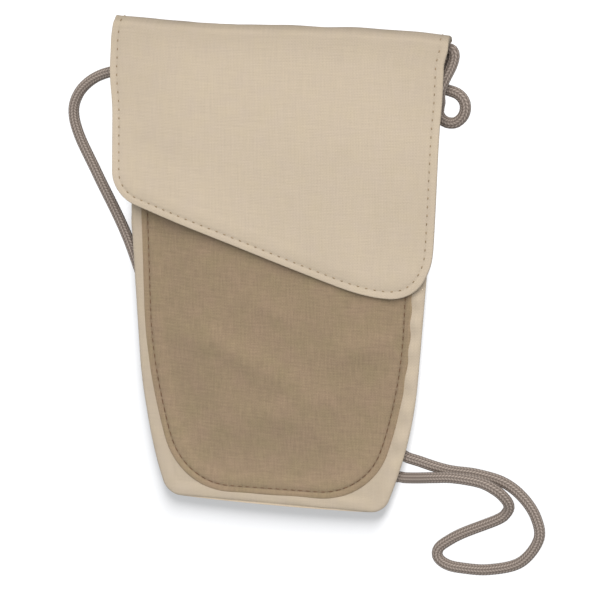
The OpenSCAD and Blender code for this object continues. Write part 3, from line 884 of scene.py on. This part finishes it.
FLAP_EDGE = flap_outline(0, FOLD_Y)
FLAP_SEAM = Seam(flap_outline(FLAP_STITCH_INSET, FLAP_STITCH_TOP), stitch=1.1, pitch=FLAP_STITCH_PITCH)
WRAP = 0.25
FLAP_ROUND = 0.45
FOLD_EASE = 1.9


def edge_lift(x, y):
    """How far the lower edge of the flap stands off the pocket on the left and settles on the right."""
    up = y - lower_y(x)
    settled = EDGE_SETTLE * soft((x - 5) / 30) * (1 - soft(up / 12))
    settled = settled + CORNER_SETTLE * soft((x - 33) / 14) * (1 - soft(up / 50))
    return EDGE_LIFT * soft((10 - x) / 45) * (1 - soft(up / 30)) - settled


def towards_fold(y):
    """0 over the closure, and 1 at the fold."""
    return soft((y - FOLD_RUN_Y) / (FOLD_Y - FOLD_RUN_Y))


def flap_height(x, y):
    """Underside of the flap: level over the closure, lower along its edges and towards the fold."""
    end_z = FOLD_Z + FOLD_RADIUS - FLAP_T
    height = mix(FLAP_Z, end_z, towards_fold(y))
    side = soft((np.abs(x) - SIDE_DROOP_X) / (FLAP_HALF - SIDE_DROOP_X))
    fade = 1 - soft((y - DROOP_FADE_Y) / (FOLD_Y - DROOP_FADE_Y))
    edge = 1 - soft((y - lower_y(x)) / EDGE_DROOP_WIDTH)
    slack = 0.22 * ripple(x, y, 60, 8) * closure_clear(x, y) * soft((FOLD_Y - y) / 12)
    return height - SIDE_DROOP * side * fade - EDGE_DROOP * edge + slack + edge_lift(x, y)


def fold_line(x):
    """How far the fold wavers from a straight line."""
    share = x / FLAP_HALF
    wave = -0.38 + 1.47 * share + 0.36 * share**2 - 2.78 * share**3
    return wave - 0.5 * soft((-share - 0.88) / 0.12)


def side_shift(x, unrolled):
    """How the flap's sides stray from straight ones, at a height measured along the cloth."""
    left = LEFT_TUCK * soft((unrolled - 90) / 15) - LEFT_BULGE * groove(unrolled - 77.5, 10)
    right = RIGHT_SWELL * soft((unrolled - 62) / 14) + RIGHT_FLARE * soft((unrolled - 88) / 9)
    right = right - CORNER_DRAW * groove(unrolled - 4, 6)
    return left * soft(-x / FLAP_HALF) + right * soft(x / FLAP_HALF)


def flap_plan(x, y):
    """Where the even flap's cloth lies: its sides bulge and flare a little, and its fold wavers."""
    waver = fold_line(x) * towards_fold(y)
    lift = edge_lift(x, y)
    return x + side_shift(x, y) + LIFT_LEAN[0] * lift, y + waver + LIFT_LEAN[1] * lift


def fold_skin(x, turn, radius):
    """Points of the fold at a radius, turned from the flap towards the back."""
    plan_x = x + side_shift(x, FOLD_Y + FOLD_RADIUS * turn)
    waver = fold_line(x) * (1 - soft((turn - FOLD_EASE) / (np.pi - FOLD_EASE)))
    y = FOLD_Y + radius * np.sin(turn) + waver
    return spots(plan_x, y, FOLD_Z + radius * np.cos(turn))


def flap_skin(x, y):
    """Both faces of the flap's outer cloth: a turned edge, a stitched channel and a soft welt."""
    gap, _ = nearest(x, y, FLAP_EDGE)
    edge_rim = rim(gap, FLAP_ROUND)
    height = flap_height(x, y)
    welt = 0.06 * roll(gap, FLAP_STITCH_INSET) + 0.08 * roll(gap - FLAP_STITCH_INSET, 7)
    channel = 0.18 * groove(gap - FLAP_STITCH_INSET, 0.6) * soft((FOLD_Y - y) / 3)
    welt = welt * soft((FOLD_Y - y) / 10)
    upper = height + WRAP + (FLAP_T - WRAP + welt - channel) * edge_rim
    lower = height + WRAP + (FLAP_BACKING - WRAP) * edge_rim
    return upper, lower, gap


def on_flap(x, y):
    return spots(*flap_plan(x, y), flap_skin(x, y)[0])


def under_flap(x, y):
    return spots(*flap_plan(x, y), flap_height(x, y))


def flap_grid(inset, end_y):
    """Plan positions over the flap, from its lower edge up to the fold."""
    edge = flap_lower_edge(inset)
    left, right = edge[0, 0], edge[-1, 0]
    low_x = left + graded(right - left)
    low_y = np.interp(low_x, edge[:, 0], edge[:, 1])
    reach = FLAP_HALF - inset
    top_x = low_x * np.where(low_x < 0, reach / -left, reach / right)
    tallest = end_y - low_y.min()
    share = (graded(tallest) / tallest)[:, None]
    return mix(low_x, top_x, share), mix(low_y, end_y, share)


LAP = 9
LAP_EASE = 5
LAP_Z = MARGIN_RISE - 0.4
FOLD_ROWS = 24
# Angles along the fold, in radians
FOLD_STITCH_STEP = FLAP_STITCH_PITCH / FOLD_RADIUS
FOLD_STITCH_FIRST = 0.65
FOLD_STITCH_COUNT = 3


def bend_with_fold(piece):
    """Bakes the piece's placement into its mesh."""
    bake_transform(piece)


def make_flap_cloth():
    """The flap, its fold and the lap sewn to the back, in one piece of cloth."""
    x, y = flap_grid(0, FLAP_END_Y)
    upper_z, lower_z, gap = flap_skin(x, y)
    plan = flap_plan(x, y)
    top_x = x[-1]
    side_gap = FLAP_HALF - np.abs(top_x)
    side_rim = rim(side_gap, FLAP_ROUND)
    roll_end = 1 - soft(side_gap / 1.5)
    turn = np.linspace(0, np.pi, FOLD_ROWS)[1:, None]
    dent = 0.22 * ripple(top_x, 30 * turn, 26, 14) * np.sin(turn)
    border = FOLD_RADIUS - FLAP_T + WRAP + dent
    down = graded(LAP)[1:, None]
    narrow = mix(1, body_width(FOLD_Y) / FLAP_HALF, soft(down / LAP_EASE))
    lap_half = CLOTH / 2 * side_rim * rim(LAP - down, CLOTH / 2)

    def face(flat_z, thickness, side):
        closed = 1 - 0.75 * roll_end * (side < 0) * np.sin(turn)
        fold = fold_skin(top_x, turn, (border + (thickness - WRAP) * side_rim) * closed)
        lap_z = mix(fold[-1, :, 2], LAP_Z - side * lap_half, soft(down / 2.5))
        lap = spots(fold[-1, :, 0] * narrow, FOLD_Y - down, lap_z)
        return np.concatenate([spots(*plan, flat_z), fold, lap])

    def whole(flat, fold, lap):
        """Values over the flap, over its fold and over its lap, in one grid."""
        return np.concatenate([flat, fold + 0 * turn * top_x, lap + 0 * down * top_x])

    past_fold = FOLD_Y + FOLD_RADIUS * np.pi
    weave = whole(x, top_x, top_x), whole(y, FOLD_Y + FOLD_RADIUS * turn, past_fold + down)
    seam_gap, phase = FLAP_SEAM.field(x, y)
    fold_gap = np.abs(side_gap - FLAP_STITCH_INSET)
    fold_phase = (turn - FOLD_STITCH_FIRST) / FOLD_STITCH_STEP + 0.5
    seam = whole(seam_gap, fold_gap, FAR), whole(phase, fold_phase, FAR)
    # Lighter along the edge strip; painted shade in the stitch channel and towards the fold, and painted
    # light towards the lower right
    low_right = soft((x - 15) / 30) * (1 - soft((y - lower_y(x)) / 45))
    tone = 0.03 * (1 - soft((gap - 2.2) / 1.0)) - 0.03 * groove(gap - FLAP_STITCH_INSET, 0.5)
    tone = tone - 0.05 * soft((y - 84) / 12) + 0.035 * low_right
    # Painted shade over the fold, darkest where it turns under
    fold_painted_shade = -0.05 - 0.25 * soft(turn / 0.9) - 0.22 * groove(turn - 1.75, 0.5)
    flap = cloth_piece("flap_cloth", face(upper_z, FLAP_T, 1), face(lower_z, FLAP_BACKING, -1),
                       BEIGE, weave, seam, whole(tone, fold_painted_shade, 0))
    bend_with_fold(flap)
    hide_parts("flap_outer", "flap_fold")
    return flap


def make_fold_stitches():
    """The ends of the flap's row of stitches, which run on over the fold."""
    half = FLAP_SEAM.stitch / 2 / FOLD_RADIUS
    middles = FOLD_STITCH_FIRST + FOLD_STITCH_STEP * np.arange(FOLD_STITCH_COUNT)
    reach = FLAP_HALF - FLAP_STITCH_INSET
    lines = np.array([fold_skin(x, middle + half * STITCH_SHARES, FOLD_RADIUS + THREAD_RISE)
                      for x in (-reach, reach) for middle in middles])
    turn = np.tile(middles, 2)
    hint = spots(0, np.sin(turn), np.cos(turn))[:, None]
    thread = tubes("fold_stitches", lines, THREAD_HALF_WIDTH, THREAD_HALF_HEIGHT, hint, TAN_THREAD)
    bend_with_fold(thread)
    return thread


def make_flap():
    flap = make_flap_cloth()
    thread = stitches("flap_stitches", FLAP_SEAM, on_flap, TAN_THREAD)
    under_thread = stitches("flap_under_stitches", FLAP_SEAM, under_flap, TAN_THREAD, side=-1)
    dress(thread, "flap", "tan_thread", "flap_stitching")
    dress(under_thread, "flap", "tan_thread")
    fold_thread = make_fold_stitches()
    lining = make_flap_lining()
    make_lap_stitches()
    return [flap, lining]


def make_flap_lining():
    inset = 0.7
    end_y = FLAP_END_Y - 0.5
    x, y = flap_grid(inset, end_y)
    gap, _ = nearest(x, y, flap_outline(inset, end_y))
    edge_rim = np.minimum(rim(gap, 0.5), rim(end_y - y, 0.3))
    middle = flap_height(x, y) + WRAP
    channel = 0.2 * groove(gap + inset - FLAP_STITCH_INSET, 0.5)
    upper = middle + (FLAP_BACKING - WRAP - 0.02) * edge_rim
    lower = middle - (WRAP - channel) * edge_rim
    lining = flat_piece("flap_lining_cloth", flap_plan(x, y), upper, lower, LINING_CLOTH,
                        (x, y), FLAP_SEAM.field(x, y))
    dress(lining, "flap", "lining_cloth", "flap_lining")
    return lining


def make_lap_stitches():
    """Two rows of stitches that hold the fold's lap to the outside of the back."""
    reach = body_width(FOLD_Y) - 2
    for row, down in (("upper", 3), ("lower", LAP - 1.6)):
        seam = Seam([(-reach, FOLD_Y - down), (reach, FOLD_Y - down)], stitch=2.2)
        thread = stitches(f"lap_stitches_{row}", seam, level(LAP_Z - CLOTH / 2), TAN_THREAD, side=-1)
        dress(thread, "pouch", "tan_thread")


# Hook-and-loop closure

PATCH_CORNER = 2
PATCH_ROUND = 0.3
PATCH_STITCH_INSET = 1.5
PILE_INSET = 2.4
TAPE_SHARE = 0.55
LOOP_RADIUS = 0.45
LOOP_YARN = 0.07
HOOK_RADIUS = 0.22
HOOK_WIRE = 0.08


def patch_base(name, low, high):
    """A strip of tape with round corners."""
    half_w, half_h = (high[0] - low[0]) / 2, (high[1] - low[1]) / 2
    rows = graded(2 * half_h) - half_h
    corner = np.clip(np.abs(rows) - half_h + PATCH_CORNER, 0, PATCH_CORNER)
    width = (half_w - PATCH_CORNER + np.sqrt(PATCH_CORNER**2 - corner**2))[:, None]
    x = (graded(2 * half_w) / half_w - 1) * width
    y = rows[:, None] + 0 * x
    edge = rim(np.minimum(width - np.abs(x), half_h - np.abs(y)), PATCH_ROUND)
    edge[[0, -1]] = 0
    middle = (low[2] + high[2]) / 2
    half = (high[2] - low[2]) / 2 * edge
    plan = x, y + CLOSURE_Y
    return flat_piece(name, plan, middle + half, middle - half, TAPE, plan)


def patch_seam(low, high):
    x0, y0 = low[:2] + PATCH_STITCH_INSET
    x1, y1 = high[:2] - PATCH_STITCH_INSET
    return Seam([(x0, y0), (x1, y0), (x1, y1), (x0, y1), (x0, y0)], stitch=2.2)


def scattered(low, high, pitch, seed):
    """Places in uneven rows over a patch, inside its row of stitches, each with a heading."""
    rng = np.random.default_rng(seed)
    x, y = np.meshgrid(*[np.arange(low[axis] + PILE_INSET, high[axis] - PILE_INSET + 0.1, pitch)
                         for axis in (0, 1)])
    jitter = rng.uniform(-0.35, 0.35, (2, x.size)) * pitch
    heading = rng.uniform(0, 2 * np.pi, x.size)
    return [values[:, None] for values in (x.ravel() + jitter[0], y.ravel() + jitter[1], heading)]


def make_loop_half():
    top = mix(loop_low[2], loop_high[2], TAPE_SHARE)
    tape = patch_base("loop_tape", loop_low, [*loop_high[:2], top])
    x, y, heading = scattered(loop_low, loop_high, pitch=0.8, seed=31)
    turn = np.linspace(0, np.pi, 7)
    reach = LOOP_RADIUS * np.cos(turn)
    lines = spots(x + np.cos(heading) * reach, y + np.sin(heading) * reach,
                  top - 0.05 + (loop_high[2] - top) * np.sin(turn))
    hint = spots(-np.sin(heading), np.cos(heading), 0)
    pile = tubes("loop_pile", lines, LOOP_YARN, LOOP_YARN, hint, PILE, sides=5, taper=0)
    thread = stitches("loop_stitches", patch_seam(loop_low, loop_high), level(top), TAN_THREAD)
    dress(tape, "pouch", "hook_and_loop", "loop_patch")
    dress(pile, "pouch", "hook_and_loop")
    dress(thread, "pouch", "tan_thread", "loop_stitching")


def make_hook_half():
    base = mix(hook_high[2], hook_low[2], TAPE_SHARE)
    tape = patch_base("hook_tape", [*hook_low[:2], base], hook_high)
    x, y, _ = scattered(hook_low, hook_high, pitch=1.05, seed=32)
    turn = np.linspace(-0.2 * np.pi, np.pi, 8)
    drop = (base - hook_low[2]) * np.sin(np.clip(turn, 0, None) * 0.85)
    lines = spots(x + HOOK_RADIUS * (1 - np.cos(turn)), y, base + 0.05 - drop)
    lines[:, 0, 2] = base + 0.2
    teeth = tubes("hook_teeth", lines, HOOK_WIRE, HOOK_WIRE, [0, 1, 0], PILE, sides=5, taper=0.2)
    thread = stitches("hook_stitches", patch_seam(hook_low, hook_high), level(base), TAN_THREAD, side=-1)
    dress(tape, "flap", "hook_and_loop", "hook_patch")
    dress(teeth, "flap", "hook_and_loop")
    dress(thread, "flap", "tan_thread", "hook_stitching")


# Tabs that hold the ends of the cord

TAB_HALF_WIDTH = (tab_high[1] - tab_low[1]) / 2
TAB_HALF_HEIGHT = (tab_high[2] - tab_low[2]) / 2
# Powers of the tab's rounded outside, near 0 for a square one
TAB_TOP_POWER = 0.22
TAB_UNDER_POWER = 0.55
TAB_RIBS = 40
TAB_SIDES = 72
BAR_OFFSET = 2.85
BAR_LENGTH = 5
BAR_STEPS = 46
BAR_SWING = 0.45
BAR_THREAD = 0.16


def tab_profile(turn):
    """Outside of a tab round the cord's end: a rounded ribbon, flat where it meets the margin."""
    power = np.where(np.sin(turn) > 0, TAB_TOP_POWER, TAB_UNDER_POWER)
    y = np.sign(np.cos(turn)) * np.abs(np.cos(turn)) ** power * TAB_HALF_WIDTH
    z = np.sign(np.sin(turn)) * np.abs(np.sin(turn)) ** power * TAB_HALF_HEIGHT
    return TAB_Y + y, TAB_Z + z


def make_tabs():
    turn = 2 * np.pi * (np.arange(TAB_SIDES) + 0.5) / TAB_SIDES
    y, z = tab_profile(turn)
    hole_y, hole_z = TAB_Y + LIE * np.cos(turn), TAB_Z + LIE * np.sin(turn)
    places = np.concatenate([[0, 0.05], np.linspace(0.1, 0.9, TAB_RIBS), [0.95, 1]])
    ribs = 0.05 * np.sin(np.linspace(0, 26 * np.pi, TAB_RIBS)) ** 2
    shrink = np.concatenate([[0.22, 0.08], ribs, [0.08, 0.22]])
    for side, name in ((-1, "left"), (1, "right")):
        x = side * mix(tab_low[0], tab_high[0], places)
        rings = [spots(at, mix(y, hole_y, less), mix(z, hole_z, less)) for at, less in zip(x, shrink)]
        rings += [spots(at, hole_y, hole_z) for at in (x[-1], mix(x[0], x[-1], 0.5), x[0])]
        points = np.concatenate(rings)
        index = np.arange(len(points)).reshape(len(rings), len(turn))
        index = np.concatenate([index, index[:1]])
        index = np.concatenate([index, index[:, :1]], axis=1)
        faces = quads(index if side < 0 else index[:, ::-1]).tolist()
        weave = spots(points[:, 0], np.tile(turn * 3, len(rings)), 0)
        tab = make_piece(f"tab_{name}_ribbon", points, faces, TAPE, weave=weave,
                         seam=FAR + 0 * weave, tone=0 * points[:, 0])
        dress(tab, "pouch", "beige_cloth", f"cord_tab_{name}")
    make_bars()


def make_bars():
    """Zigzag bars of thread that close the tabs on both sides of the cord."""
    share = np.linspace(-0.5, 0.5, BAR_STEPS)
    swing = BAR_SWING * np.where(np.arange(BAR_STEPS) % 2, 1, -1)
    middle = (tab_low[0] + tab_high[0]) / 2
    lines = []
    for side, across in ((-1, -1), (-1, 1), (1, -1), (1, 1)):
        y = across * BAR_OFFSET + swing
        out = np.clip(np.abs(y) / TAB_HALF_WIDTH, 0, 1)
        drop = TAB_HALF_HEIGHT * (1 - out ** (1 / TAB_UNDER_POWER)) ** TAB_UNDER_POWER
        lines.append(spots(side * middle + BAR_LENGTH * share, TAB_Y + y, TAB_Z - drop - 0.02))
    bars = tubes("tab_bars", np.array(lines), BAR_THREAD, BAR_THREAD, [0, 0, -1], TAN_THREAD,
                 sides=6, taper=0)
    dress(bars, "pouch", "tan_thread", "tab_stitching")


# How pieces are held

def dress(piece, body, slot, *nodes):
    """The piece rides on a body and stands for these nodes, which it hides; the slot is not used."""
    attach(piece, body)
    if nodes:
        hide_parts(*nodes)


# Stage

FLOOR_SIZE = 8
FLOOR_Z = -0.0002
FLOOR_PAINT = (0.6, 0.6, 0.61, 1)
FLOOR_BOUNCE = (0.18, 0.18, 0.18, 1)
FLOOR_GLOW = 0.395
WORLD_COLOUR = (0.94, 0.97, 1, 1)
WORLD_LIGHT = 0.49


def seen_directly(tree):
    """1 for rays from the camera, or through gloss or glass, and 0 for rays that light the object."""
    paths = tree.nodes.new("ShaderNodeLightPath").outputs
    rays = tree.calc("MAXIMUM", paths["Is Camera Ray"], paths["Is Glossy Ray"])
    return tree.calc("MAXIMUM", rays, paths["Is Transmission Ray"])


def make_world():
    tree = Tree(bpy.data.worlds.new("studio"), "Background")
    strength = {"Value": seen_directly(tree), "To Min": WORLD_LIGHT, "To Max": 1.0}
    bpy.context.scene.world = tree.finish(Color=WORLD_COLOUR, Strength=tree.add("MapRange", strength))


def make_floor():
    tree = Tree(bpy.data.materials.new("white_floor"))
    seen = seen_directly(tree)
    paint = tree.add("Mix", {0: seen, 6: FLOOR_BOUNCE, 7: FLOOR_PAINT}, 2, data_type="RGBA")
    material = tree.finish(Base_Color=paint, Roughness=0.9, Specular_IOR_Level=0)
    share = tree.calc("MULTIPLY", seen, FLOOR_GLOW)
    surface = tree.add("MixShader", {0: share, 1: tree.shader.outputs[0], 2: tree.add("Emission", {})})
    tree.put(tree.nodes["Material Output"], "Surface", surface)
    mesh = bpy.data.meshes.new("floor")
    half = FLOOR_SIZE / 2
    corners = [(x, y, FLOOR_Z) for x, y in ((-half, -half), (half, -half), (half, half), (-half, half))]
    mesh.from_pydata(corners, [], [(0, 1, 2, 3)])
    mesh.materials.append(material)
    floor = bpy.data.objects.new("floor", mesh)
    bpy.context.scene.collection.objects.link(floor)
    return floor


def make_lamp(name, place, power, width, height, colour):
    lamp = bpy.data.lights.new(name, "AREA")
    lamp.shape = "ELLIPSE"
    lamp.size = width
    lamp.size_y = height
    lamp.energy = power
    lamp.color = colour
    holder = bpy.data.objects.new(name, lamp)
    holder.location = place
    holder.rotation_euler = (-Vector(place)).to_track_quat("-Z", "Y").to_euler()
    bpy.context.scene.collection.objects.link(holder)
    return holder


def group(name, pieces, state):
    """A collection that names pieces for a lamp to include or to leave out."""
    collection = bpy.data.collections.new(name)
    for place, piece in enumerate(pieces):
        collection.objects.link(piece)
        collection.collection_objects[place].light_linking.link_state = state
    return collection


def make_stage(overhanging):
    bpy.context.scene.view_settings.view_transform = "Standard"
    make_world()
    floor = make_floor()
    key = make_lamp("key", (0.95, 3.2, 3.75), power=207, width=4.5, height=4.5, colour=(1, 0.985, 0.96))
    key.light_linking.receiver_collection = group("all_but_floor", [floor], "EXCLUDE")
    sweep = make_lamp("sweep", (0.62, 1.95, 1.43), power=198, width=0.9, height=2.0, colour=(1, 1, 1))
    sweep.light_linking.receiver_collection = group("only_floor", [floor], "INCLUDE")
    sweep.light_linking.blocker_collection = group("all_but_overhanging", overhanging, "EXCLUDE")


make_camera()
neck_cord = make_cord()
make_back()
make_linings()
make_front()
make_pocket()
flap_layers = make_flap()
make_loop_half()
make_hook_half()
make_tabs()
make_stage([neck_cord, *flap_layers])
